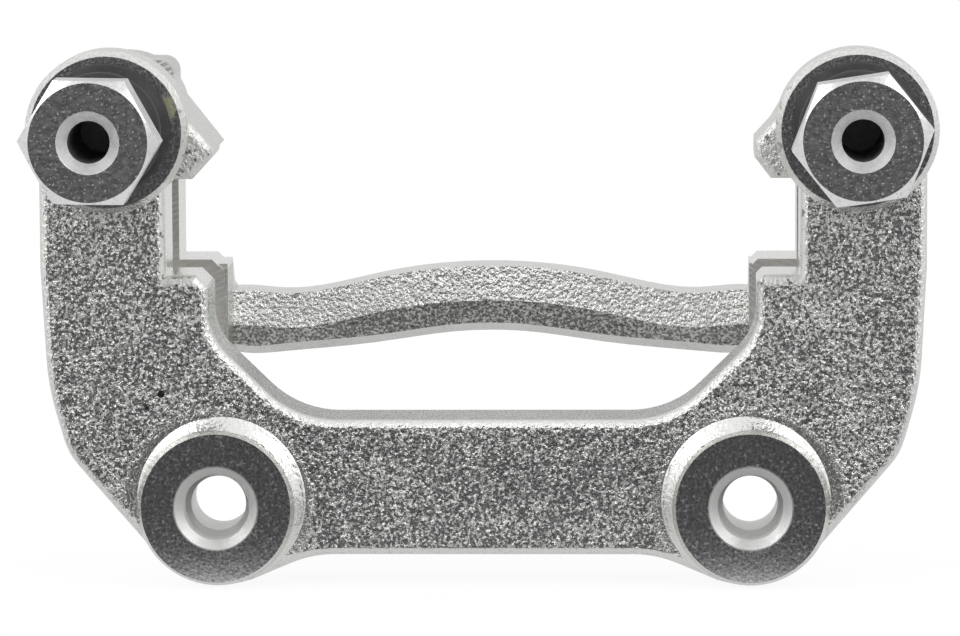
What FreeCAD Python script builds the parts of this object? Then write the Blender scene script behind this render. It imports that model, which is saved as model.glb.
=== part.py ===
import FreeCAD, Part
import Sketcher
import math
import os
import re

# Floating brake caliper bracket: one cast iron carrier, two guide pins and two rubber boots.
# Millimetres. X runs across the bracket, Y from the knuckle side to the outboard side, Z up.
# The origin lies midway between the two mounting holes, halfway along their threads.

doc = FreeCAD.newDocument("caliper_bracket")
sheet = doc.addObject("Spreadsheet::Sheet", "sizes")

SIZES = {
    # depths along Y
    "lug_face": -11.0, "plate_front": -8.0, "plate_rear": 5.0, "rotor_gap": 12.0,
    "outboard_depth": 13.0, "boss_face": -11.0,
    # mounting lugs
    "hole_half_pitch": 42.5, "lug_radius": 12.8, "lug_face_radius": 11.9, "thread_bore": 4.4,
    "step_bore": 5.25, "step_depth": 6.5, "mouth_bevel": 1.35,
    # guide pin bosses
    "pin_half_pitch": 59.3, "pin_height": 60.6, "boss_radius": 12.9, "boss_face_radius": 12.0,
    "boss_bevel": 1.2, "boss_drop": 0.6, "barrel_depth": 8.5, "sleeve_radius": 9.8, "bore_clearance": 0.05, "bore_depth": 38.0,
    "seat_radius": 9.0, "seat_depth": 5.0,
    # bar between the mounting lugs
    "bar_bottom": 8.0, "bar_top": 13.75, "bar_blend_x": 27.5, "bar_blend_radius": 18.0,
    "lug_neck_x": 37.4, "lug_neck_z": 12.2, "lug_heel_x": 53.9, "lug_heel_z": 6.2,
    # outer edge of the arms
    "arm_knee_x": 66.3, "arm_knee_z": 8.2, "arm_hip_x": 69.4, "arm_hip_z": 19.0,
    "arm_side_x": 70.4, "arm_side_z": 38.0, "knee_radius": 11.0, "hip_radius": 40.0,
    "boss_core": 3.0,
    # window between the arms
    "window_corner_x": 29.9, "window_corner_radius": 16.0, "window_side_x": 43.5,
    "window_side_z": 27.0, "window_side_radius": 9.0,
    # pad abutments and pad noses
    "abutment_wall": 50.3, "ledge_height": 36.9, "slot_height": 15.3, "bevel_left": 2.0,
    "bevel_right": 1.0, "nose_root": 46.0, "nose_tip_x": 42.0, "nose_tip_z": 56.6,
    "nose_tip_radius": 1.5, "nose_top_x": 50.4, "nose_top_z": 66.2, "flat_tip_x": 43.1,
    "flat_tip_low": 55.6, "flat_tip_high": 58.2, "flat_root_x": 45.7, "rear_nose_back": 1.8,
    "rear_nose_drop": 1.2,
    # slot for the brake disc
    "disc_crest": 63.1, "disc_slot_radius": 143.5, "bridge_inner": 51.5,
    "bridge_outer": 69.6, "bridge_low": 42.0, "bridge_lap": 2.0,
    # outboard legs
    "leg_outer_x": 68.8, "leg_foot_x": 61.0, "leg_foot_z": 20.2, "leg_hip_z": 34.0,
    "leg_inner": 43.0, "lobe_inner": 50.9, "lobe_top": 69.5, "lobe_outer": 57.0,
    "lobe_foot": 64.0, "lobe_radius": 2.5,
    # heel of each leg, which carries the tie bar clear of the outer pad
    "heel_inner": 42.6, "heel_outer": 57.0, "heel_top_y": 34.0, "heel_top_z": 31.7,
    "heel_shoulder": 36.0, "heel_radius": 3.0,
    # tie bar
    "tie_front": 31.5, "tie_depth": 10.5, "tie_top_setback": 1.5, "tie_low_setback": 1.0,
    "tie_under_setback": 3.6, "tie_end_x": 43.4, "tie_outer_x": 35.0, "tie_knee_x": 27.0,
    "tie_mid_x": 18.0, "tie_crown_x": 7.0, "tie_end_top": 29.9, "tie_outer_top": 29.6,
    "tie_knee_top": 30.3, "tie_mid_top": 32.3, "tie_crown_top": 33.85, "tie_ridge_drop": 5.6,
    "tie_low_crown": 9.5, "tie_low_end": 8.4, "tie_under_crown": 11.0, "tie_under_end": 10.0,
    # edge rounding of the casting
    "cast_round": 1.7,
    # guide pins
    "hex_flats": 19.0, "hex_face": 27.0, "hex_length": 7.0, "hex_bevel_radius": 9.2,
    "hex_bevel_drop": 1.75, "hex_bevel_reach": 3.0, "neck_radius": 4.7, "neck_length": 3.0,
    "shaft_radius": 5.5, "shaft_length": 37.6, "shaft_bevel": 1.0,
    "pin_thread_bore": 3.3, "pin_thread_depth": 22.0,
    "pin_mouth_radius": 4.9, "pin_mouth_drop": 1.5, "left_turn": 1.0, "right_turn": -8.6,
    # rubber boots
    "boot_fold": 10.4, "boot_second_fold": 9.6, "boot_valley": 8.1, "boot_neck": 7.6,
    "boot_bore": 6.6, "boot_fold_width": 1.9, "boot_gap": 4.4, "boot_clearance": 0.1,
    "boot_collar": 4.0, "boot_lip": 2.4,
}
for row, (name, value) in enumerate(SIZES.items(), start=1):
    sheet.set("A%d" % row, name)
    sheet.set("B%d" % row, repr(value))
    sheet.setAlias("B%d" % row, name)
doc.recompute()


def bound(text):
    # the same sum of sizes, written for the expression engine
    return re.sub(r"[a-z_]+", lambda found: "sizes." + found.group(0), text)


def worth(text):
    # the present value of a sum of sizes
    total = 0.0
    for sign, term in re.findall(r"([+-]?)([a-z_]+|[0-9.]+)", text.replace(" ", "")):
        amount = float(sheet.get(term)) if term[0].isalpha() else float(term)
        total += -amount if sign == "-" else amount
    return total


def negated(text):
    # the sum with every sign turned round
    swapped = "".join({"+": "-", "-": "+"}.get(c, c) for c in text.replace(" ", ""))
    return swapped[1:] if swapped.startswith("+") else (swapped if swapped[0] == "-" else "-" + swapped)


def new_sketch(body, name, role, across="0", upward="0", normal="0"):
    sketch = body.newObject("Sketcher::SketchObject", name)
    plane = [f for f in body.Origin.OriginFeatures if f.Role == role][0]
    sketch.AttachmentSupport = [(plane, "")]
    sketch.MapMode = "FlatFace"
    for axis, text in (("x", across), ("y", upward), ("z", normal)):
        if text != "0":
            sketch.setExpression("AttachmentOffset.Base." + axis, bound(text))
    return sketch


def tie_point(sketch, index, place, across, upward):
    # holds one point of a sketch at two sums of sizes
    point = sketch.getPoint(index, place)
    for kind, text, reach in (("DistanceX", across, point.x), ("DistanceY", upward, point.y)):
        if text == "0":
            axis = -2 if kind == "DistanceX" else -1
            sketch.addConstraint(Sketcher.Constraint("PointOnObject", index, place, axis))
            continue
        if reach >= 0:
            ends, size_text = (-1, 1, index, place), text
        else:
            ends, size_text = (index, place, -1, 1), negated(text)
        number = sketch.addConstraint(Sketcher.Constraint(kind, *ends, abs(reach)))
        sketch.setExpression("Constraints[%d]" % number, bound(size_text))


def polygon(sketch, corners):
    points = [FreeCAD.Vector(worth(a), worth(b), 0) for a, b in corners]
    first = sketch.GeometryCount
    count = len(points)
    for i in range(count):
        sketch.addGeometry(Part.LineSegment(points[i], points[(i + 1) % count]), False)
    for i in range(count):
        ahead = first + (i + 1) % count
        sketch.addConstraint(Sketcher.Constraint("Coincident", first + i, 2, ahead, 1))
    for i, (a, b) in enumerate(corners):
        tie_point(sketch, first + i, 1, a, b)


def circle(sketch, across, upward, radius):
    centre = FreeCAD.Vector(worth(across), worth(upward), 0)
    upright = FreeCAD.Vector(0, 0, 1)
    index = sketch.addGeometry(Part.Circle(centre, upright, worth(radius)), False)
    tie_point(sketch, index, 3, across, upward)
    number = sketch.addConstraint(Sketcher.Constraint("Radius", index, worth(radius)))
    sketch.setExpression("Constraints[%d]" % number, bound(radius))


def extrude(body, kind, name, sketch, length, turned):
    feature = body.newObject("PartDesign::" + kind, name)
    feature.Profile = sketch
    feature.setExpression("Length", bound(length))
    feature.Reversed = turned
    doc.recompute()
    return feature


def slab(body, name, outlines, start, length):
    # pads one or more outlines of the XZ plane from depth start towards +Y
    sketch = new_sketch(body, name + "_outline", "XZ_Plane", normal=negated(start))
    for corners in outlines:
        polygon(sketch, corners)
    return extrude(body, "Pad", name, sketch, length, True)


def turned_form(body, kind, name, across, upward, corners):
    # revolves corners, each a depth and a radius, about an axis parallel to Y
    sketch = new_sketch(body, name + "_profile", "YZ_Plane", upward=upward, normal=across)
    polygon(sketch, corners)
    feature = body.newObject("PartDesign::" + kind, name)
    feature.Profile = sketch
    feature.ReferenceAxis = (sketch, ["H_Axis"])
    feature.Angle = 360.0
    doc.recompute()
    return feature


def rounded(body, name, test, radius):
    base = body.Tip
    chosen = ["Edge%d" % (i + 1) for i, edge in enumerate(base.Shape.Edges) if test(edge)]
    feature = body.newObject("PartDesign::Fillet", name)
    feature.Base = (base, chosen)
    feature.setExpression("Radius", bound(radius))
    doc.recompute()
    return feature


def along_depth(*corners):
    # edges parallel to Y through any of the corners, on both sides of the centre line
    reach = 0.05
    places = [(worth(a), worth(b)) for a, b in corners]

    def test(edge):
        if len(edge.Vertexes) != 2:
            return False
        a, b = edge.Vertexes[0].Point, edge.Vertexes[1].Point
        if abs(a.x - b.x) > reach or abs(a.z - b.z) > reach:
            return False
        return any(math.hypot(abs(a.x) - x, a.z - z) < reach for x, z in places)
    return test


def mirrored(corners):
    return [(negated(a) if a != "0" else a, b) for a, b in reversed(corners)]


NOSE_LOW = "ledge_height+slot_height"
POINTED_NOSE = [("nose_top_x", "nose_top_z"), ("nose_tip_x", "nose_tip_z"), ("nose_root", NOSE_LOW)]
FLAT_NOSE = [("nose_top_x", "nose_top_z"), ("flat_tip_x", "flat_tip_high"),
             ("flat_tip_x", "flat_tip_low"), ("flat_root_x", NOSE_LOW)]
SET_BACK_POINT = [("nose_top_x", "nose_top_z-rear_nose_drop-rear_nose_drop"),
                  ("nose_tip_x+rear_nose_back", "nose_tip_z-rear_nose_drop"),
                  ("nose_root+rear_nose_back", NOSE_LOW)]
SET_BACK_NOSE = [("nose_top_x", "nose_top_z"),
                 ("flat_tip_x+rear_nose_back", "flat_tip_high-rear_nose_drop"),
                 ("flat_tip_x+rear_nose_back", "flat_tip_low-rear_nose_drop"),
                 ("flat_root_x+rear_nose_back", NOSE_LOW)]


def abutment(nose, inner, bevel):
    # pad nose, abutment wall and ledge of one side, from the boss downward
    return nose + [("abutment_wall", NOSE_LOW), ("abutment_wall", "ledge_height"),
                   (inner + "+" + bevel, "ledge_height"), (inner, "ledge_height-" + bevel)]


# carrier casting: inboard plate with its two arms and the window between them
bracket = doc.addObject("PartDesign::Body", "bracket")
arm = [("bar_blend_x", "-bar_bottom"), ("lug_neck_x", "-lug_neck_z"),
       ("lug_heel_x", "-lug_heel_z"), ("arm_knee_x", "arm_knee_z"),
       ("arm_hip_x", "arm_hip_z"), ("arm_side_x", "arm_side_z"), ("arm_side_x", "pin_height"),
       ("pin_half_pitch", "pin_height+boss_core")]
window = [("window_side_x", "window_side_z"), ("window_corner_x", "bar_top")]
right_arm = arm + abutment(FLAT_NOSE, "window_side_x", "bevel_right") + window
left_arm = arm + abutment(POINTED_NOSE, "window_side_x", "bevel_left") + window
slab(bracket, "plate", [right_arm + mirrored(left_arm)], "plate_front", "plate_rear-plate_front")
rounded(bracket, "bar_blend", along_depth(arm[0]), "bar_blend_radius")
rounded(bracket, "window_bend", along_depth(window[1]), "window_corner_radius")
rounded(bracket, "window_side", along_depth(window[0]), "window_side_radius")
rounded(bracket, "knee", along_depth(arm[3]), "knee_radius")
rounded(bracket, "hip", along_depth(arm[4]), "hip_radius")
rounded(bracket, "nose_tip", along_depth(POINTED_NOSE[1]), "nose_tip_radius")
front_y = worth("plate_front")
rounded(bracket, "front_rim",
        lambda edge: all(abs(v.Point.y - front_y) < 0.01 for v in edge.Vertexes), "cast_round")

# mounting lugs, each with its raised machined face
lug_profile = [("lug_face", "0"), ("lug_face", "lug_face_radius"), ("plate_front", "lug_radius"),
               ("plate_rear", "lug_radius"), ("plate_rear", "0")]
for side, across in (("right", "hole_half_pitch"), ("left", "-hole_half_pitch")):
    turned_form(bracket, "Revolution", "lug_" + side, across, "0", lug_profile)

# outboard legs with the outer abutments
OUTBOARD = "plate_rear+rotor_gap"
leg = [("leg_inner", "leg_foot_z"), ("leg_foot_x", "leg_foot_z"), ("leg_outer_x", "leg_hip_z"),
       ("leg_outer_x", "pin_height"), ("pin_half_pitch", "pin_height+boss_core")]
right_leg = leg + abutment(SET_BACK_NOSE, "leg_inner", "bevel_right")
left_leg = leg + abutment(SET_BACK_POINT, "leg_inner", "bevel_left")
slab(bracket, "legs", [right_leg, mirrored(left_leg)], OUTBOARD, "outboard_depth")
rounded(bracket, "leg_foot", along_depth(leg[1], leg[2]), "heel_radius")
# cast lobe over the left leg, beside its boss
lobe = [("lobe_inner", "lobe_foot"), ("lobe_outer", "lobe_foot"), ("lobe_outer", "lobe_top"),
        ("lobe_inner", "lobe_top")]
slab(bracket, "lobe", [mirrored(lobe)], OUTBOARD, "outboard_depth")
rounded(bracket, "lobe_corner", along_depth(lobe[3]), "lobe_radius")

# bridges over the edge of the disc, then the guide pin bosses
bridge = [("bridge_inner", "bridge_low"), ("bridge_outer", "bridge_low"),
          ("bridge_outer", "pin_height"), ("pin_half_pitch", "pin_height+boss_core"),
          ("bridge_inner", "pin_height+boss_core")]
slab(bracket, "bridges", [bridge, mirrored(bridge)], "plate_rear-bridge_lap",
     "rotor_gap+bridge_lap+bridge_lap")
OUTER_END = OUTBOARD + "+outboard_depth"
BARREL_END = "boss_face+barrel_depth"
boss_profile = [("boss_face", "0"), ("boss_face", "boss_face_radius"),
                ("boss_face+boss_bevel", "boss_radius"), (BARREL_END, "boss_radius"),
                (BARREL_END, "0")]
sleeve_profile = [("boss_face+boss_bevel", "0"), ("boss_face+boss_bevel", "sleeve_radius"),
                  (OUTER_END, "sleeve_radius"), (OUTER_END, "0")]
for side, across in (("right", "pin_half_pitch"), ("left", "-pin_half_pitch")):
    turned_form(bracket, "Revolution", "sleeve_" + side, across, "pin_height", sleeve_profile)
    turned_form(bracket, "Revolution", "boss_" + side, across, "pin_height-boss_drop",
                boss_profile)

# heels behind the legs and the crowned tie bar between them
TIE_REAR = "tie_front+tie_depth"
heel = [(OUTBOARD + "+bridge_lap", "leg_foot_z"), (TIE_REAR, "leg_foot_z"),
        (TIE_REAR, "tie_end_top"), ("heel_top_y", "heel_top_z"), (OUTER_END, "heel_shoulder"),
        (OUTBOARD + "+bridge_lap", "heel_shoulder")]
for side, start in (("right", "heel_inner"), ("left", "-heel_outer")):
    outline = new_sketch(bracket, "heel_%s_outline" % side, "YZ_Plane", normal=start)
    polygon(outline, heel)
    extrude(bracket, "Pad", "heel_" + side, outline, "heel_outer-heel_inner", False)


def tie_section(name, across, top, low_drop, under_drop):
    sketch = new_sketch(bracket, name, "YZ_Plane", normal=across)
    polygon(sketch, [("tie_front+tie_top_setback", top), ("tie_front", top + "-tie_ridge_drop"),
                     ("tie_front+tie_low_setback", top + "-" + low_drop),
                     ("tie_front+tie_under_setback", top + "-" + under_drop),
                     (TIE_REAR, top + "-" + under_drop), (TIE_REAR, top)])
    return sketch


stations = [("tie_end_x", "tie_end_top", "end"), ("tie_outer_x", "tie_outer_top", "end"),
            ("tie_knee_x", "tie_knee_top", "end"), ("tie_mid_x", "tie_mid_top", "crown"),
            ("tie_crown_x", "tie_crown_top", "crown")]
sections = []
for sign, order in (("-", stations), ("", reversed(stations))):
    for across, top, zone in order:
        sections.append(tie_section("tie_%s%d" % (zone, len(sections)), sign + across, top,
                                    "tie_low_" + zone, "tie_under_" + zone))
tie = bracket.newObject("PartDesign::AdditiveLoft", "tie_bar")
tie.Profile = sections[0]
tie.Sections = sections[1:]
tie.Ruled = False
doc.recompute()

# slot for the disc, then the bores
slot = new_sketch(bracket, "disc_slot_outline", "XZ_Plane", normal=negated("plate_rear"))
circle(slot, "0", "disc_crest-disc_slot_radius", "disc_slot_radius")
extrude(bracket, "Pocket", "disc_slot", slot, "rotor_gap", False)
MOUTH = "step_bore+mouth_bevel"
hole = [("lug_face-1", "0"), ("lug_face-1", MOUTH), ("lug_face", MOUTH),
        ("lug_face+mouth_bevel", "step_bore"), ("lug_face+step_depth", "step_bore"),
        ("lug_face+step_depth", "thread_bore"), ("plate_rear+1", "thread_bore"),
        ("plate_rear+1", "0")]
for side, across in (("right", "hole_half_pitch"), ("left", "-hole_half_pitch")):
    turned_form(bracket, "Groove", "hole_" + side, across, "0", hole)
BORE = "shaft_radius+bore_clearance"
SEAT_END = "boss_face+seat_depth"
BORE_END = "boss_face+bore_depth"
bore = [("boss_face-1", "0"), ("boss_face-1", "seat_radius"), (SEAT_END, "seat_radius"),
        (SEAT_END, BORE), (BORE_END, BORE), (BORE_END, "0")]
for side, across in (("right", "pin_half_pitch"), ("left", "-pin_half_pitch")):
    turned_form(bracket, "Groove", "bore_" + side, across, "pin_height", bore)

# guide pins, drawn on their own axis with the boss face at zero depth
HEAD_BACK = "-hex_face+hex_length"
NECK_END = HEAD_BACK + "+neck_length"
SHAFT_END = NECK_END + "+shaft_length"


def guide_pin(name, sign, turn):
    pin = doc.addObject("PartDesign::Body", name)
    turned_form(pin, "Revolution", name + "_shaft", "0", "0", [
        ("-hex_face+1", "0"), ("-hex_face+1", "neck_radius"), (NECK_END, "neck_radius"),
        (NECK_END, "shaft_radius"),
        (SHAFT_END + "-shaft_bevel", "shaft_radius"), (SHAFT_END, "shaft_radius-shaft_bevel"),
        (SHAFT_END, "0")])
    outline = new_sketch(pin, name + "_hex_outline", "XZ_Plane", normal="hex_face")
    corner_radius = worth("hex_flats") / 2 / math.cos(math.pi / 6)
    spots = [FreeCAD.Vector(corner_radius * math.cos(i * math.pi / 3),
                            corner_radius * math.sin(i * math.pi / 3), 0) for i in range(6)]
    for i in range(6):
        outline.addGeometry(Part.LineSegment(spots[i], spots[(i + 1) % 6]), False)
    ring = outline.addGeometry(
        Part.Circle(FreeCAD.Vector(0, 0, 0), FreeCAD.Vector(0, 0, 1), corner_radius), True)
    outline.addConstraint(Sketcher.Constraint("Coincident", ring, 3, -1, 1))
    number = outline.addConstraint(Sketcher.Constraint("Radius", ring, corner_radius))
    outline.setExpression("Constraints[%d]" % number, "sizes.hex_flats / 2 / cos(30 deg)")
    outline.addConstraint(Sketcher.Constraint("PointOnObject", 0, 1, -1))
    for i in range(6):
        outline.addConstraint(Sketcher.Constraint("Coincident", i, 2, (i + 1) % 6, 1))
        outline.addConstraint(Sketcher.Constraint("PointOnObject", i, 1, ring))
        if i:
            outline.addConstraint(Sketcher.Constraint("Equal", 0, i))
    extrude(pin, "Pad", name + "_hex", outline, "hex_length", True)
    turned_form(pin, "Groove", name + "_bevel", "0", "0", [
        ("-hex_face-1", "hex_bevel_radius"), ("-hex_face", "hex_bevel_radius"),
        ("-hex_face+hex_bevel_drop", "hex_bevel_radius+hex_bevel_reach"),
        ("-hex_face-1", "hex_bevel_radius+hex_bevel_reach")])
    turned_form(pin, "Groove", name + "_thread", "0", "0", [
        ("-hex_face-1", "0"), ("-hex_face-1", "pin_mouth_radius"), ("-hex_face", "pin_mouth_radius"),
        ("-hex_face+pin_mouth_drop", "pin_thread_bore"),
        ("-hex_face+pin_thread_depth", "pin_thread_bore"), ("-hex_face+pin_thread_depth", "0")])
    pin.Placement = FreeCAD.Placement(FreeCAD.Vector(), FreeCAD.Rotation(FreeCAD.Vector(0, 1, 0), 1))
    pin.setExpression("Placement.Base.x", sign + "sizes.pin_half_pitch")
    pin.setExpression("Placement.Base.y", "sizes.boss_face")
    pin.setExpression("Placement.Base.z", "sizes.pin_height")
    pin.setExpression("Placement.Rotation.Angle", "sizes.%s * 1 deg" % turn)
    return pin


def rubber_boot(name, sign):
    boot = doc.addObject("PartDesign::Body", name)
    lip_start = HEAD_BACK + "+boot_clearance"
    lip_end = lip_start + "+boot_lip"
    plug = "seat_radius-boot_clearance"
    rim = "-boot_clearance-boot_fold_width"
    valley = rim + "-boot_gap"
    outer = [("boot_collar", plug), ("-boot_clearance", plug), ("-boot_clearance", "boot_fold"),
             (rim, "boot_fold"), (rim, "boot_valley"), (valley, "boot_valley"),
             (valley, "boot_second_fold"), (valley + "-boot_fold_width", "boot_second_fold"),
             (valley + "-boot_fold_width", "boot_neck"), (lip_start, "boot_neck"),
             (lip_start, "neck_radius+boot_clearance")]
    inner = [("boot_collar", "boot_bore"), (lip_end, "boot_bore"),
             (lip_end, "neck_radius+boot_clearance")]
    turned_form(boot, "Revolution", name + "_wall", "0", "0", outer + list(reversed(inner)))
    boot.setExpression("Placement.Base.x", sign + "sizes.pin_half_pitch")
    boot.setExpression("Placement.Base.y", "sizes.boss_face")
    boot.setExpression("Placement.Base.z", "sizes.pin_height")
    return boot


PARTS = [bracket]
for side, sign in (("left", "-"), ("right", "")):
    PARTS.append(guide_pin("guide_pin_" + side, sign, side + "_turn"))
    PARTS.append(rubber_boot("boot_" + side, sign))
for part in PARTS:
    part.Label = part.Name
doc.recompute()

os.makedirs("parts", exist_ok=True)
for item in doc.Objects:
    if any(word in ("Invalid", "Error") for word in item.State):
        raise RuntimeError("%s is %s" % (item.Name, item.State))
for part in PARTS:
    if part.Shape.isNull() or not part.Shape.isValid() or len(part.Shape.Solids) != 1:
        raise RuntimeError("%s has no single valid solid" % part.Label)
    part.Shape.exportStep("parts/%s.step" % part.Label)
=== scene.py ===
import math
from types import SimpleNamespace
import bpy
from mathutils import Matrix, Vector


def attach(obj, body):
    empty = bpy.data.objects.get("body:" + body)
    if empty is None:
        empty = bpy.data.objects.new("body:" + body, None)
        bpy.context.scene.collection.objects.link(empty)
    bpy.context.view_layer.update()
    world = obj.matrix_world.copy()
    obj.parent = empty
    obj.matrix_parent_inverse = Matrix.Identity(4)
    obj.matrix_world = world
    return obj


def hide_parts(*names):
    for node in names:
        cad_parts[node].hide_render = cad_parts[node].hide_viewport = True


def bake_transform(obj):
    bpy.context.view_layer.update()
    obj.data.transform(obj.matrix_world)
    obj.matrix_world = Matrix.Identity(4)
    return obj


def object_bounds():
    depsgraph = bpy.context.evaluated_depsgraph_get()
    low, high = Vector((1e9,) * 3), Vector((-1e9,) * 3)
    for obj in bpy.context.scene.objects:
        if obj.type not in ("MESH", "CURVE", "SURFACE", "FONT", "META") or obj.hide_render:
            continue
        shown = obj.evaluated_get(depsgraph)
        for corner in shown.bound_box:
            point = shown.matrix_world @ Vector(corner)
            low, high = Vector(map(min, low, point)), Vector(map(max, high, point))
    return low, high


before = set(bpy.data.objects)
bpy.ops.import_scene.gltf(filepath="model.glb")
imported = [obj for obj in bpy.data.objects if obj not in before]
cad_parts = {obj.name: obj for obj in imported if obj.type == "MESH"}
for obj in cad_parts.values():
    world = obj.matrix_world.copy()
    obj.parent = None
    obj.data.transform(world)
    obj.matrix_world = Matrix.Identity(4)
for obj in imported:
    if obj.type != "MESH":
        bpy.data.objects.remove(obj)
CAD_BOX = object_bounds()

# places on the bracket, in metres; depth is measured along Y, away from the camera
HOLE_PITCH = 0.0425
PIN_PITCH = 0.0593
PIN_HEIGHT = 0.0606
BOSS_HEIGHT = 0.060
DISC_AXIS_HEIGHT = -0.0804
LUG_FACE = -0.011
BOSS_FACE = -0.011
FLOOR_HEIGHT = CAD_BOX[0][2] - 0.0002

# limits of the regions of the casting and the pins, in metres
FACE_MARGIN = 0.0001
TURNED_LUG_RADIUS = 0.0121
TURNED_BOSS_RADIUS = 0.0129
NEAR_DISC_WALL = (0.0048, 0.0052)
FAR_DISC_WALL = (0.0168, 0.0192)
BORE_RADIUS = 0.0092
BORE_END = 0.0285
LUG_HOLE_RADIUS = 0.0068
LUG_HOLE_END = 0.0047
PAD_RUN_ACROSS = (0.0400, 0.0512)
PAD_RUN_HEIGHTS = (0.0352, 0.0670)
NOSE_BOTTOM = 0.0525
CHIPS_END = 0.0040
HOLLOW_REACH = (0.0142, 0.0160)
HOLLOW_END = -0.0078
BOSS_SIDE_REACH = (0.0117, 0.0132)
BOSS_SIDE_END = -0.0022
HIGHLIT_EDGE_END = -0.0030
REAR_START = 0.0300
BLOWHOLES = ((-0.0512, 0.0180, 0.0005), (-0.0535, 0.0157, 0.0002))
BLOWHOLE_DEPTH = -0.0080
BLOWHOLE_EDGE = 0.0002
PAINT_DAB = (-0.0498, BOSS_FACE, 0.0639)
PAINT_REACH = (0.0026, 0.0039)
PIN_HOLE_RADIUS = 0.0034
PIN_HOLE_START = -0.0360
PIN_MOUTH_RADIUS = 0.0054
PIN_MOUTH_START = -0.03795

# limits of how squarely a surface looks along the pins, and of how far it looks up
SQUARE_LIMITS = (0.35, 0.8)
SLANT_START = (0.10, 0.30)
SLANT_END = (0.93, 0.985)
OVERHANG_LIMITS = (-0.10, 0.05)
OVERHANG_SQUARENESS = 0.2
SOLE_LIMITS = (-0.95, -0.75)

# sizes of grain and heights of relief, in metres
LUMP_SIZE = 0.00090
GRIT_SIZE = 0.00052
SPECK_SIZE = 0.00046
FLECK_SIZE = 0.00040
CHIP_SIZE = 0.0016
TONE_SIZE = 0.004
DRIFT_SIZE = 0.0110
TURNING_SIZE = 0.00045
WAVER_SIZE = 0.003
WAVER_WIDTH = 0.0006
FRAY_SIZE = 0.0008
FRAY_WIDTH = 0.0030
PATCH_SIZE = 0.0010
SCUFF_SIZE = 0.0006
PIN_GRAIN_SIZE = 0.0005
DUST_SIZE = 0.0018
PORE_SIZE = 0.0004
CAST_RELIEF = 0.0010
CUT_RELIEF = 0.00003
CUTTER_RELIEF = 0.00006
CUTTER_PITCH = 0.0009
PIN_RELIEF = 0.00002
RUBBER_RELIEF = 0.00004

# colours
LIGHT_METAL = ((0.70, 0.71, 0.69, 1.0), (0.62, 0.63, 0.60, 1.0))
SHADOWED_METAL = (0.17, 0.17, 0.17, 1.0)
PAINTED_LIGHT_AND_PAD_RUN_METAL = (0.93, 0.93, 0.91, 1.0)
UNDER_TIE_SHADE_METAL = (0.36, 0.36, 0.34, 1.0)
NOSE_METAL = (0.74, 0.74, 0.72, 1.0)
EDGE_HIGHLIGHT_METAL = (0.82, 0.82, 0.80, 1.0)
CHIP_COLOUR = (0.22, 0.22, 0.20, 1.0)
BLOWHOLE_SHADE_COLOUR = (0.03, 0.03, 0.03, 1.0)
TURNED_METAL = ((0.78, 0.78, 0.78, 1.0), (0.50, 0.50, 0.52, 1.0))
HOLE_METAL = (0.84, 0.84, 0.83, 1.0)
MILLED_METAL = ((0.84, 0.82, 0.79, 1.0), (0.76, 0.75, 0.73, 1.0))
PAINT_COLOUR = (0.42, 0.42, 0.23, 1.0)
PIN_METAL = ((0.62, 0.62, 0.63, 1.0), (0.75, 0.75, 0.75, 1.0))
PIN_HOLE_SHADE_METAL = (0.42, 0.42, 0.43, 1.0)
RUBBER_COLOUR = ((0.012, 0.012, 0.013, 1.0), (0.030, 0.030, 0.032, 1.0))
WHITE = (1.0, 1.0, 1.0, 1.0)


def let_go():
    bpy.ops.object.select_all(action="DESELECT")
    bpy.context.view_layer.objects.active = None


def new_finish(name):
    finish = bpy.data.materials.new(name)
    finish.use_nodes = True
    tree = finish.node_tree
    return finish, tree, tree.nodes["Principled BSDF"]


def join(tree, start, end):
    tree.links.new(start, end)


def fed(tree, socket, source):
    # a socket takes a plain number or the output of another node
    if isinstance(source, bpy.types.NodeSocket):
        join(tree, source, socket)
    else:
        socket.default_value = source


def worked(tree, operation, first, second=0.0):
    step = tree.nodes.new("ShaderNodeMath")
    step.operation = operation
    fed(tree, step.inputs[0], first)
    fed(tree, step.inputs[1], second)
    return step.outputs[0]


def added(tree, first, second):
    return worked(tree, "ADD", first, second)


def scaled(tree, value, share):
    return worked(tree, "MULTIPLY", value, share)


def above(tree, value, limit):
    return worked(tree, "GREATER_THAN", value, limit)


def below(tree, value, limit):
    return worked(tree, "LESS_THAN", value, limit)


def between(tree, value, limits):
    return both(tree, above(tree, value, limits[0]), below(tree, value, limits[1]))


def both(tree, first, second):
    return worked(tree, "MULTIPLY", first, second)


def either(tree, first, second):
    return worked(tree, "MAXIMUM", first, second)


def without(tree, first, second):
    return both(tree, first, worked(tree, "SUBTRACT", 1.0, second))


def weakened(tree, strength, region, share):
    # a strength that loses the given share of itself in a region
    return without(tree, strength, scaled(tree, region, share))


def eased(tree, source, low, high, start=0.0, end=1.0):
    step = tree.nodes.new("ShaderNodeMapRange")
    step.interpolation_type = "SMOOTHSTEP"
    fed(tree, step.inputs["Value"], source)
    step.inputs["From Min"].default_value = low
    step.inputs["From Max"].default_value = high
    step.inputs["To Min"].default_value = start
    step.inputs["To Max"].default_value = end
    return step.outputs["Result"]


def blended(tree, share, first, second):
    step = tree.nodes.new("ShaderNodeMix")
    step.data_type = "RGBA"
    fed(tree, step.inputs[0], share)
    fed(tree, step.inputs[6], first)
    fed(tree, step.inputs[7], second)
    return step.outputs[2]


def grain(tree, place, size, detail=2.0, rough=0.5):
    # noise with lumps of about the given size in metres
    step = tree.nodes.new("ShaderNodeTexNoise")
    join(tree, place, step.inputs["Vector"])
    step.inputs["Scale"].default_value = 1.0 / size
    step.inputs["Detail"].default_value = detail
    step.inputs["Roughness"].default_value = rough
    return step.outputs["Fac"]


def flecks_of(tree, point):
    return eased(tree, grain(tree, point, FLECK_SIZE, 1.0), 0.60, 0.70)


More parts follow.
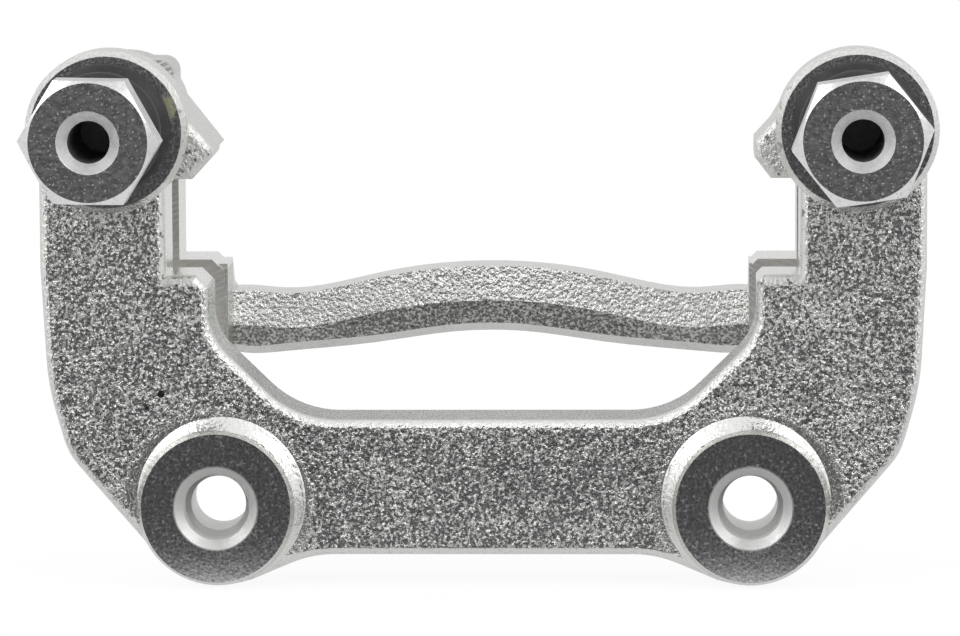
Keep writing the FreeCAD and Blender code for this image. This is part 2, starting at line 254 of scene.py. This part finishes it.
def relief(tree, height, depth, strength=1.0, under=None):
    step = tree.nodes.new("ShaderNodeBump")
    step.inputs["Distance"].default_value = depth
    fed(tree, step.inputs["Strength"], strength)
    fed(tree, step.inputs["Height"], height)
    if under is not None:
        join(tree, under, step.inputs["Normal"])
    return step.outputs["Normal"]


def split_up(tree, vector):
    step = tree.nodes.new("ShaderNodeSeparateXYZ")
    join(tree, vector, step.inputs[0])
    return step.outputs


def places(tree):
    # across is the distance from the middle plane, alike on both sides
    point = tree.nodes.new("ShaderNodeTexCoord").outputs["Object"]
    parts = split_up(tree, point)
    return SimpleNamespace(point=point, across=worked(tree, "ABSOLUTE", parts[0]),
                           depth=parts[1], height=parts[2])


def distance(tree, start, end):
    step = tree.nodes.new("ShaderNodeVectorMath")
    step.operation = "DISTANCE"
    join(tree, start, step.inputs[0])
    step.inputs[1].default_value = end
    return step.outputs["Value"]


def from_axis(tree, spot, axis_across, axis_height):
    # distance from an axis parallel to Y
    flat = tree.nodes.new("ShaderNodeCombineXYZ")
    join(tree, spot.across, flat.inputs[0])
    join(tree, spot.height, flat.inputs[2])
    return distance(tree, flat.outputs[0], (axis_across, 0.0, axis_height))


def facing(tree):
    # how squarely a surface looks along the pins, and how far it looks up
    parts = split_up(tree, tree.nodes.new("ShaderNodeNewGeometry").outputs["True Normal"])
    return worked(tree, "ABSOLUTE", parts[1]), parts[2]


def stretched(tree, point, shares):
    # the same places drawn closer together or further apart, for a longer grain
    step = tree.nodes.new("ShaderNodeVectorMath")
    step.operation = "MULTIPLY"
    join(tree, point, step.inputs[0])
    step.inputs[1].default_value = shares
    return step.outputs[0]


def casting_regions(tree, spot):
    # each region is 1 inside and 0 outside, with a soft edge where it is eased
    lug_reach = from_axis(tree, spot, HOLE_PITCH, 0.0)
    pin_reach = from_axis(tree, spot, PIN_PITCH, PIN_HEIGHT)
    boss_reach = from_axis(tree, spot, PIN_PITCH, BOSS_HEIGHT)
    squareness, upward = facing(tree)
    on = SimpleNamespace()
    on.square = eased(tree, squareness, *SQUARE_LIMITS)
    # machined faces, holes and the two faces beside the disc
    on.turned = both(tree, below(tree, spot.depth, LUG_FACE + FACE_MARGIN),
                     either(tree, below(tree, lug_reach, TURNED_LUG_RADIUS),
                            below(tree, boss_reach, TURNED_BOSS_RADIUS)))
    on.beside_disc = both(tree, either(tree, between(tree, spot.depth, NEAR_DISC_WALL),
                                       between(tree, spot.depth, FAR_DISC_WALL)), on.square)
    in_bore = both(tree, below(tree, pin_reach, BORE_RADIUS), below(tree, spot.depth, BORE_END))
    in_lug = both(tree, below(tree, lug_reach, LUG_HOLE_RADIUS),
                  below(tree, spot.depth, LUG_HOLE_END))
    on.in_hole = either(tree, in_lug, in_bore)
    on.cut = either(tree, either(tree, on.turned, on.in_hole), on.beside_disc)
    # noses, walls and ledges that the pads run on
    on.pad_run = without(tree, both(tree, between(tree, spot.across, PAD_RUN_ACROSS),
                                    between(tree, spot.height, PAD_RUN_HEIGHTS)), on.cut)
    on.nose = both(tree, on.pad_run, above(tree, spot.height, NOSE_BOTTOM))
    # hollow rounding where a lug rises from the plate
    climb = eased(tree, lug_reach, *HOLLOW_REACH, 1.0, 0.0)
    ahead = below(tree, spot.depth, HOLLOW_END)
    on.hollow = both(tree, both(tree, climb, on.square), without(tree, ahead, on.turned))
    # sides of the bosses behind their turned faces
    on.boss_side = without(tree, both(tree, between(tree, boss_reach, BOSS_SIDE_REACH),
                                      below(tree, spot.depth, BOSS_SIDE_END)), on.turned)
    # rounded front edges, rubbed smooth in the plating barrel, with a painted highlight in their
    # colour
    slanted = both(tree, eased(tree, squareness, *SLANT_START),
                   eased(tree, squareness, *SLANT_END, 1.0, 0.0))
    on.rubbed = without(tree, both(tree, slanted, below(tree, spot.depth, HIGHLIT_EDGE_END)), on.cut)
    # the back of the bracket, with the underside and the sole of the tie bar
    on.behind = above(tree, spot.depth, REAR_START)
    overhung = both(tree, on.behind, eased(tree, upward, *OVERHANG_LIMITS, 1.0, 0.0))
    on.under_tie = both(tree, overhung, above(tree, squareness, OVERHANG_SQUARENESS))
    on.tie_sole = both(tree, on.behind, eased(tree, upward, *SOLE_LIMITS, 1.0, 0.0))
    return on


def casting_normal(tree, spot, on, grain_place, grit):
    # cast skin of grit with a few lumps, smoother on worn and machined places
    lumps = grain(tree, grain_place, LUMP_SIZE, 0.0)
    skin = added(tree, scaled(tree, lumps, 0.25), scaled(tree, grit, 0.75))
    strength = both(tree, worked(tree, "SUBTRACT", 1.0, on.cut),
                    eased(tree, on.square, 0.0, 1.0, 0.25, 1.0))
    for region, share in ((on.behind, 0.3), (without(tree, on.pad_run, on.nose), 0.6),
                          (on.boss_side, 0.35), (on.rubbed, 0.5), (on.hollow, 0.6)):
        strength = weakened(tree, strength, region, share)
    rough_skin = relief(tree, skin, CAST_RELIEF, strength)
    turning = grain(tree, spot.point, TURNING_SIZE, 1.0)
    cut_skin = relief(tree, turning, CUT_RELIEF, on.cut, rough_skin)
    # rings left by the side cutter that opened the slot for the disc
    swing = from_axis(tree, spot, 0.0, DISC_AXIS_HEIGHT)
    waver = scaled(tree, grain(tree, spot.point, WAVER_SIZE), WAVER_WIDTH)
    turns = scaled(tree, added(tree, swing, waver), 2.0 * math.pi / CUTTER_PITCH)
    rings = scaled(tree, worked(tree, "SINE", turns), 0.5)
    return relief(tree, rings, CUTTER_RELIEF, on.beside_disc, cut_skin)


def casting_colour(tree, spot, on):
    specks = grain(tree, spot.point, SPECK_SIZE, 1.0)
    tone = eased(tree, grain(tree, spot.point, TONE_SIZE), 0.35, 0.65)
    # painted shade: dark specks stand in for the shade in the cast grain, fuller on faces that
    # look along the pins; they grow denser in some places, and towards the middle of the bar
    broad = grain(tree, spot.point, DRIFT_SIZE, 1.0)
    drift = scaled(tree, worked(tree, "SUBTRACT", broad, 0.5), 0.16)
    drift = added(tree, drift, eased(tree, spot.across, 0.010, 0.055, 0.035, 0.005))
    shadowed = both(tree, eased(tree, added(tree, specks, drift), 0.44, 0.58),
                    eased(tree, on.square, 0.0, 1.0, 0.14, 1.0))
    # painted light: the sole of the tie bar, the sides of the bosses, the hollow roundings and the
    # back are lightened, and the pad runs take the same light colour
    painted_rear_light = scaled(tree, without(tree, on.behind, on.under_tie), 0.6)
    painted_light_and_pad_runs = either(tree, either(tree, on.tie_sole, on.pad_run), scaled(tree, on.boss_side, 0.55))
    painted_light_and_pad_runs = either(tree, painted_light_and_pad_runs, either(tree, on.hollow, painted_rear_light))
    # painted highlight on the rounded front edges, weaker on the sides of the bosses
    rubbed = without(tree, on.rubbed, scaled(tree, on.boss_side, 0.6))
    chipped = both(tree, eased(tree, grain(tree, spot.point, CHIP_SIZE), 0.60, 0.64),
                   both(tree, both(tree, on.pad_run, on.square),
                        below(tree, spot.depth, CHIPS_END)))
    cast_colour = blended(tree, tone, *LIGHT_METAL)
    # painted shade darkens the downward faces under the tie bar
    for share, colour in ((shadowed, SHADOWED_METAL), (painted_light_and_pad_runs, PAINTED_LIGHT_AND_PAD_RUN_METAL),
                          (scaled(tree, on.under_tie, 0.25), UNDER_TIE_SHADE_METAL),
                          (on.nose, NOSE_METAL), (rubbed, EDGE_HIGHLIGHT_METAL), (chipped, CHIP_COLOUR)):
        cast_colour = blended(tree, share, cast_colour, colour)
    # painted shade of two blowholes in the casting, on the left arm
    for hole_across, hole_height, hole_size in BLOWHOLES:
        away = distance(tree, spot.point, (hole_across, BLOWHOLE_DEPTH, hole_height))
        inside = eased(tree, away, hole_size, hole_size + BLOWHOLE_EDGE, 1.0, 0.0)
        cast_colour = blended(tree, inside, cast_colour, BLOWHOLE_SHADE_COLOUR)
    cut_colour = blended(tree, eased(tree, specks, 0.38, 0.62), *TURNED_METAL)
    cut_colour = blended(tree, on.in_hole, cut_colour, HOLE_METAL)
    milled_colour = blended(tree, tone, *MILLED_METAL)
    cut_colour = blended(tree, on.beside_disc, cut_colour, milled_colour)
    return blended(tree, on.cut, cast_colour, cut_colour)


def paint_dab(tree, spot, on):
    # a dab of inspection paint with a frayed edge on the face of the left boss
    fray = scaled(tree, grain(tree, spot.point, FRAY_SIZE, 3.0, 0.7), FRAY_WIDTH)
    frayed = added(tree, distance(tree, spot.point, PAINT_DAB), fray)
    return both(tree, eased(tree, frayed, *PAINT_REACH, 0.8, 0.0), on.turned)


def plated_casting():
    finish, tree, shader = new_finish("zinc_plated_cast_iron")
    spot = places(tree)
    on = casting_regions(tree, spot)
    grain_place = stretched(tree, spot.point, (1.0, 1.0, 0.8))
    grit = grain(tree, grain_place, GRIT_SIZE)
    join(tree, casting_normal(tree, spot, on, grain_place, grit), shader.inputs["Normal"])
    painted = paint_dab(tree, spot, on)
    join(tree, blended(tree, painted, casting_colour(tree, spot, on), PAINT_COLOUR),
         shader.inputs["Base Color"])
    join(tree, worked(tree, "SUBTRACT", 1.0, painted), shader.inputs["Metallic"])
    duller = either(tree, both(tree, on.pad_run, on.square),
                    either(tree, on.beside_disc, on.in_hole))
    duller = either(tree, duller, both(tree, on.turned, flecks_of(tree, spot.point)))
    join(tree, added(tree, eased(tree, grit, 0.3, 0.7, 0.18, 0.30), scaled(tree, duller, 0.22)),
         shader.inputs["Roughness"])
    return finish


def pin_plating():
    finish, tree, shader = new_finish("zinc_plated_steel")
    spot = places(tree)
    pin_reach = from_axis(tree, spot, PIN_PITCH, PIN_HEIGHT)
    patches = grain(tree, spot.point, PATCH_SIZE, 3.0, 0.6)
    scuffs = grain(tree, stretched(tree, spot.point, (0.5, 1.0, 1.4)), SCUFF_SIZE, 3.0, 0.7)
    shade = added(tree, scaled(tree, patches, 0.5), scaled(tree, scuffs, 0.5))
    join(tree, relief(tree, grain(tree, spot.point, PIN_GRAIN_SIZE), PIN_RELIEF),
         shader.inputs["Normal"])
    outside = blended(tree, eased(tree, shade, 0.36, 0.64), *PIN_METAL)
    # painted shade: the hole in the pin is darker past its mouth
    deep_shade = both(tree, below(tree, pin_reach, PIN_HOLE_RADIUS),
                above(tree, spot.depth, PIN_HOLE_START))
    join(tree, blended(tree, deep_shade, outside, PIN_HOLE_SHADE_METAL), shader.inputs["Base Color"])
    shader.inputs["Metallic"].default_value = 1.0
    in_mouth = both(tree, below(tree, pin_reach, PIN_MOUTH_RADIUS),
                    above(tree, spot.depth, PIN_MOUTH_START))
    dull = scaled(tree, either(tree, in_mouth, flecks_of(tree, spot.point)), 0.3)
    join(tree, added(tree, eased(tree, shade, 0.35, 0.65, 0.24, 0.34), dull),
         shader.inputs["Roughness"])
    return finish


def boot_rubber():
    finish, tree, shader = new_finish("black_boot_rubber")
    point = tree.nodes.new("ShaderNodeTexCoord").outputs["Object"]
    dust = grain(tree, point, DUST_SIZE, 4.0, 0.6)
    join(tree, relief(tree, grain(tree, point, PORE_SIZE), RUBBER_RELIEF), shader.inputs["Normal"])
    join(tree, blended(tree, eased(tree, dust, 0.4, 0.7), *RUBBER_COLOUR),
         shader.inputs["Base Color"])
    join(tree, eased(tree, dust, 0.3, 0.7, 0.38, 0.55), shader.inputs["Roughness"])
    return finish


def dress(piece, finish):
    piece.data.materials.clear()
    piece.data.materials.append(finish)


# rings of one boot: depth from the boss face and radius, in metres
BOOT_RINGS = [
    (0.0040, 0.0088), (0.0002, 0.0088), (-0.0001, 0.0090), (-0.0001, 0.0100),
    (-0.0004, 0.0103), (-0.0010, 0.0104), (-0.0016, 0.0103), (-0.0021, 0.0099),
    (-0.0026, 0.0090), (-0.0033, 0.0083), (-0.0042, 0.0081), (-0.0051, 0.0083),
    (-0.0058, 0.0089), (-0.0064, 0.0094), (-0.0072, 0.0096), (-0.0080, 0.0094),
    (-0.0086, 0.0088), (-0.0094, 0.0079), (-0.0103, 0.0075), (-0.0112, 0.0077),
    (-0.0119, 0.0083), (-0.0127, 0.0086), (-0.0135, 0.0083), (-0.0142, 0.0077),
    (-0.0151, 0.0072), (-0.0162, 0.0071), (-0.0170, 0.0074), (-0.0178, 0.0076),
    (-0.0192, 0.0076), (-0.0198, 0.0073), (-0.0199, 0.0068), (-0.0199, 0.0050),
    (-0.0197, 0.0048), (-0.0177, 0.0048), (-0.0175, 0.0050), (-0.0175, 0.0062),
    (-0.0172, 0.0066), (-0.0120, 0.0066), (-0.0060, 0.0066), (0.0000, 0.0066),
    (0.0038, 0.0066), (0.0040, 0.0068),
]

# rings of the rounding at the foot of a lug: depth from the lug face and radius, in metres
ROOT_RINGS = [
    (0.0011, 0.0110), (0.00165, 0.0115), (0.00215, 0.0121), (0.00255, 0.0127),
    (0.00283, 0.0132), (0.00297, 0.0136), (0.0036, 0.01365), (0.0036, 0.0120), (0.0025, 0.0110),
]

# the roundings are wider towards the middle of the bar and upward
ROOT_SHIFT = (0.0007, 0.0009)

RING_CORNERS = 72
WELD_DISTANCE = 0.00002


def ringed_piece(name, rings, centre, finish):
    # a closed body of rings about an axis along Y, each ring drawn out of the one before
    let_go()
    depth, radius = rings[0]
    bpy.ops.mesh.primitive_circle_add(
        vertices=RING_CORNERS, radius=radius, location=centre + Vector((0.0, depth, 0.0)),
        rotation=(math.radians(90.0), 0.0, 0.0))
    piece = bpy.context.object
    piece.name = name
    bpy.ops.object.transform_apply(location=True, rotation=True, scale=True)
    bpy.ops.object.mode_set(mode="EDIT")
    bpy.ops.mesh.select_all(action="SELECT")
    for next_depth, next_radius in rings[1:] + rings[:1]:
        bpy.ops.mesh.extrude_edges_move(
            TRANSFORM_OT_translate={"value": (0.0, next_depth - depth, 0.0)})
        share = next_radius / radius
        bpy.ops.transform.resize(value=(share, 1.0, share),
                                 center_override=centre + Vector((0.0, next_depth, 0.0)))
        depth, radius = next_depth, next_radius
    bpy.ops.mesh.select_all(action="SELECT")
    bpy.ops.mesh.remove_doubles(threshold=WELD_DISTANCE)
    bpy.ops.mesh.normals_make_consistent(inside=False)
    bpy.ops.object.mode_set(mode="OBJECT")
    smooth = piece.modifiers.new("smooth", "SUBSURF")
    smooth.levels = 1
    smooth.render_levels = 1
    bpy.ops.object.modifier_apply(modifier=smooth.name)
    bpy.ops.object.shade_smooth()
    dress(piece, finish)
    return piece


casting = plated_casting()
plating = pin_plating()
rubber = boot_rubber()
dress(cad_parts["bracket"], casting)
for side, sign in (("left", -1.0), ("right", 1.0)):
    dress(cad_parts["guide_pin_" + side], plating)
    root_centre = Vector((sign * (HOLE_PITCH - ROOT_SHIFT[0]), LUG_FACE, ROOT_SHIFT[1]))
    root = ringed_piece("lug_root_" + side, ROOT_RINGS, root_centre, casting)
    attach(root, "carrier")
    boot_centre = Vector((sign * PIN_PITCH, BOSS_FACE, PIN_HEIGHT))
    boot = ringed_piece("bellows_" + side, BOOT_RINGS, boot_centre, rubber)
    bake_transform(boot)
    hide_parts("boot_" + side)

CAMERA_PLACE = (0.0312657, -0.891, 0.1322495)
CAMERA_RIGHT = (0.99936686, 0.03521102, -0.00510599)
CAMERA_UP = (0.00102672, 0.11491006, 0.99337537)
CAMERA_BACK = (0.03556449, -0.99275166, 0.11480115)
LENS_MM = 210.3
SENSOR_MM = 36.0
CLIP_LIMITS = (0.05, 20.0)

FLOOR_SIZE = 3.0
FLOOR_MIDDLE = 1.455
FLOOR_COLOUR = (0.8, 0.8, 0.8, 1.0)
FLOOR_SEEN = 1.04
FLOOR_GLOW_SHARE = 0.88
MIRRORED_LIMITS = (-0.036, -0.014)
MIRRORED_LEVELS = (0.10, 0.72)

AIM = (0.0, 0.0, 0.03)
BOX_PLACE = (0.75, -0.55, 0.65)
BOX_WIDTH = 0.55
BOX_WATTS = 2.0


def photo_camera():
    # stands back from the knuckle side, a little above, with a long lens
    data = bpy.data.cameras.new("photo_camera")
    data.lens = LENS_MM
    data.sensor_width = SENSOR_MM
    data.clip_start = CLIP_LIMITS[0]
    data.clip_end = CLIP_LIMITS[1]
    camera = bpy.data.objects.new("photo_camera", data)
    bpy.context.scene.collection.objects.link(camera)
    turn = Matrix((CAMERA_RIGHT, CAMERA_UP, CAMERA_BACK)).transposed().to_4x4()
    camera.matrix_world = Matrix.Translation(CAMERA_PLACE) @ turn
    bpy.context.scene.camera = camera


def white_floor():
    # white to the camera; a painted reflection makes it glow dimmer in the metal where the floor
    # lies ahead of the part
    let_go()
    bpy.ops.mesh.primitive_plane_add(size=FLOOR_SIZE, location=(0.0, FLOOR_MIDDLE, FLOOR_HEIGHT))
    floor = bpy.context.object
    floor.name = "floor"
    bpy.ops.object.transform_apply(location=True, rotation=False, scale=False)
    finish, tree, shader = new_finish("pale_floor")
    tree.nodes.remove(shader)
    out = tree.nodes["Material Output"]
    paint = tree.nodes.new("ShaderNodeBsdfDiffuse")
    paint.inputs["Color"].default_value = FLOOR_COLOUR
    glow = tree.nodes.new("ShaderNodeEmission")
    glow.inputs["Color"].default_value = WHITE
    path = tree.nodes.new("ShaderNodeLightPath").outputs
    mix = tree.nodes.new("ShaderNodeMixShader")
    depth = split_up(tree, tree.nodes.new("ShaderNodeTexCoord").outputs["Object"])[1]
    mirrored_level = eased(tree, depth, *MIRRORED_LIMITS, *MIRRORED_LEVELS)
    level = either(tree, mirrored_level, scaled(tree, path["Is Camera Ray"], FLOOR_SEEN))
    join(tree, level, glow.inputs["Strength"])
    seen = either(tree, path["Is Camera Ray"], path["Is Glossy Ray"])
    join(tree, scaled(tree, seen, FLOOR_GLOW_SHARE), mix.inputs[0])
    join(tree, paint.outputs[0], mix.inputs[1])
    join(tree, glow.outputs[0], mix.inputs[2])
    join(tree, mix.outputs[0], out.inputs["Surface"])
    dress(floor, finish)


def light_tent():
    # white tent all round, open and dim on the side that the camera stands on
    world = bpy.data.worlds.new("light_tent")
    bpy.context.scene.world = world
    world.use_nodes = True
    tree = world.node_tree
    back = tree.nodes["Background"]
    back.inputs["Color"].default_value = WHITE
    towards = split_up(tree, tree.nodes.new("ShaderNodeTexCoord").outputs["Generated"])
    open_front = eased(tree, towards[1], -0.86, -0.54, 1.0, 0.0)
    below_roof = eased(tree, towards[2], 0.22, 0.55, 1.0, 0.0)
    above_ground = eased(tree, towards[2], -0.80, -0.50)
    gap = both(tree, both(tree, open_front, below_roof), above_ground)
    wall = eased(tree, towards[1], 0.1, 0.6, 1.0, 0.75)
    tent = both(tree, wall, eased(tree, gap, 0.0, 1.0, 1.0, 0.08))
    path = tree.nodes.new("ShaderNodeLightPath").outputs
    join(tree, either(tree, tent, path["Is Camera Ray"]), back.inputs["Strength"])


def soft_box(side, sign):
    name = side + "_box"
    place = Vector((sign * BOX_PLACE[0], BOX_PLACE[1], BOX_PLACE[2]))
    data = bpy.data.lights.new(name, "AREA")
    data.shape = "SQUARE"
    data.size = BOX_WIDTH
    data.energy = BOX_WATTS
    box = bpy.data.objects.new(name, data)
    bpy.context.scene.collection.objects.link(box)
    look = Vector(AIM) - place
    turn = look.to_track_quat("-Z", "Y").to_matrix().to_4x4()
    box.matrix_world = Matrix.Translation(place) @ turn


bpy.context.scene.view_settings.view_transform = "Standard"
soft_box("left", -1.0)
soft_box("right", 1.0)
photo_camera()
white_floor()
light_tent()
